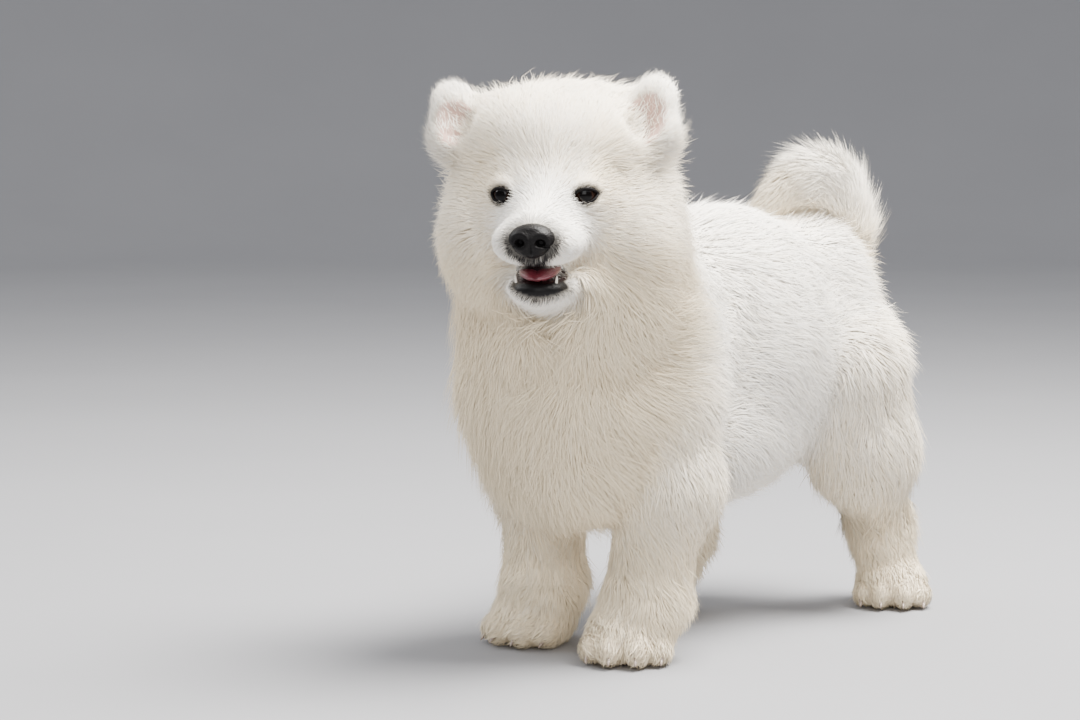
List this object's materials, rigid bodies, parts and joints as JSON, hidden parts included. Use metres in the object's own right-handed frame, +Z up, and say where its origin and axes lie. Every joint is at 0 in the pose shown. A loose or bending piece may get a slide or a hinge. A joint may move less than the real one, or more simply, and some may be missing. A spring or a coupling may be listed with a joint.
{
  "type": "samoyed puppy",
  "caption": "Standing samoyed puppy, life size, with a thick fluffy white coat, small round ears, a black nose, dark eyes and a tail curled over its back.",
  "frame": {"origin": "middle of the bounding box at the floor", "axes": "+Z up, the puppy faces -Y, its left side is +X, its head turned 31 degrees to its left"},
  "size_m": [0.1522, 0.3512, 0.2991],
  "materials": {
    "coat": "soft fine white fur, cream in the shade",
    "eye": "wet, very dark brown",
    "nose_leather": "moist black, finely pebbled",
    "tongue": "wet red-pink"
  },
  "bodies": {
    "root": {"head": "coat", "muzzle": "coat", "lower_jaw": "coat", "ear_left": "coat", "ear_right": "coat", "neck": "coat", "trunk": "coat", "foreleg_left": "coat", "foreleg_right": "coat", "forepaw_left": "coat", "forepaw_right": "coat", "hindleg_left": "coat", "hindleg_right": "coat", "hindpaw_left": "coat", "hindpaw_right": "coat", "tail_root": "coat", "tail_curl": "coat", "eye_left": "eye", "eye_right": "eye", "nose": "nose_leather", "tongue": "tongue"}
  },
  "joints": []
}
